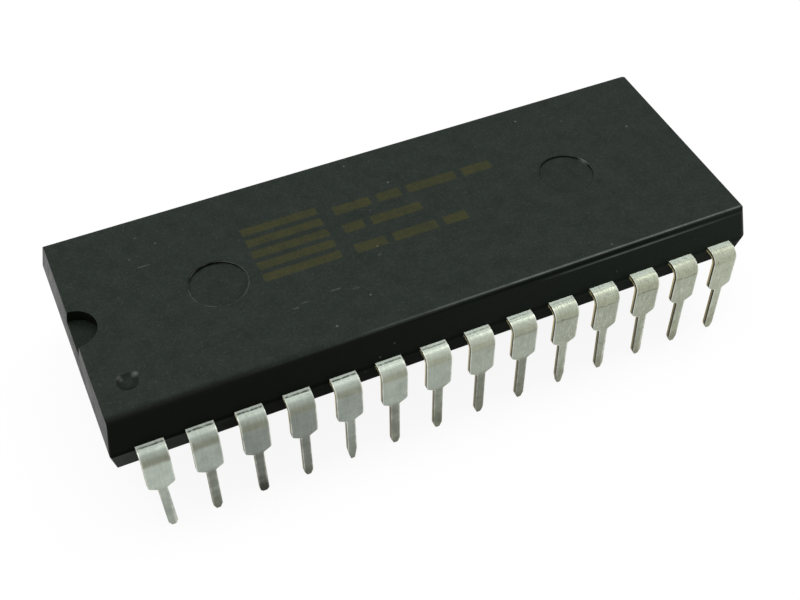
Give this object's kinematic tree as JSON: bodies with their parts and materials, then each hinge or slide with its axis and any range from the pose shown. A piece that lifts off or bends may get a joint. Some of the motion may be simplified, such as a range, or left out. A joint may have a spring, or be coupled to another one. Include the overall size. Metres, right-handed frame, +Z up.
{
  "type": "dual in-line package integrated circuit",
  "caption": "Wide dual in-line chip package: black moulded body with an end notch and two rows of bent, shouldered through-hole leads.",
  "frame": {"origin": "under the middle of the package, on the plane that the lead tips stand on", "axes": "+Z up out of the top face; +X along the rows of leads, away from the index notch; -Y towards the row that holds lead 1"},
  "size_m": [0.037, 0.016, 0.0078],
  "materials": {
    "moulding_compound": "satin black-grey epoxy moulding compound with fine light specks",
    "tinned_lead": "dull tin plating on copper alloy strip, brushed along the lead",
    "paddle_metal": "bare copper alloy strip",
    "die_bond": "silver-filled epoxy",
    "silicon": "polished silicon",
    "gold_wire": "drawn gold wire"
  },
  "bodies": {
    "root": {"moulded_body": "moulding_compound", "die_paddle": "paddle_metal", "die_attach": "die_bond", "silicon_die": "silicon", "lead_01": "tinned_lead", "lead_02": "tinned_lead", "lead_03": "tinned_lead", "lead_04": "tinned_lead", "lead_05": "tinned_lead", "lead_06": "tinned_lead", "lead_07": "tinned_lead", "lead_08": "tinned_lead", "lead_09": "tinned_lead", "lead_10": "tinned_lead", "lead_11": "tinned_lead", "lead_12": "tinned_lead", "lead_13": "tinned_lead", "lead_14": "tinned_lead", "lead_15": "tinned_lead", "lead_16": "tinned_lead", "lead_17": "tinned_lead", "lead_18": "tinned_lead", "lead_19": "tinned_lead", "lead_20": "tinned_lead", "lead_21": "tinned_lead", "lead_22": "tinned_lead", "lead_23": "tinned_lead", "lead_24": "tinned_lead", "lead_25": "tinned_lead", "lead_26": "tinned_lead", "lead_27": "tinned_lead", "lead_28": "tinned_lead", "bond_wire_01": "gold_wire", "bond_wire_02": "gold_wire", "bond_wire_03": "gold_wire", "bond_wire_04": "gold_wire", "bond_wire_05": "gold_wire", "bond_wire_06": "gold_wire", "bond_wire_07": "gold_wire", "bond_wire_08": "gold_wire", "bond_wire_09": "gold_wire", "bond_wire_10": "gold_wire", "bond_wire_11": "gold_wire", "bond_wire_12": "gold_wire", "bond_wire_13": "gold_wire", "bond_wire_14": "gold_wire", "bond_wire_15": "gold_wire", "bond_wire_16": "gold_wire", "bond_wire_17": "gold_wire", "bond_wire_18": "gold_wire", "bond_wire_19": "gold_wire", "bond_wire_20": "gold_wire", "bond_wire_21": "gold_wire", "bond_wire_22": "gold_wire", "bond_wire_23": "gold_wire", "bond_wire_24": "gold_wire", "bond_wire_25": "gold_wire", "bond_wire_26": "gold_wire", "bond_wire_27": "gold_wire", "bond_wire_28": "gold_wire"}
  },
  "joints": []
}
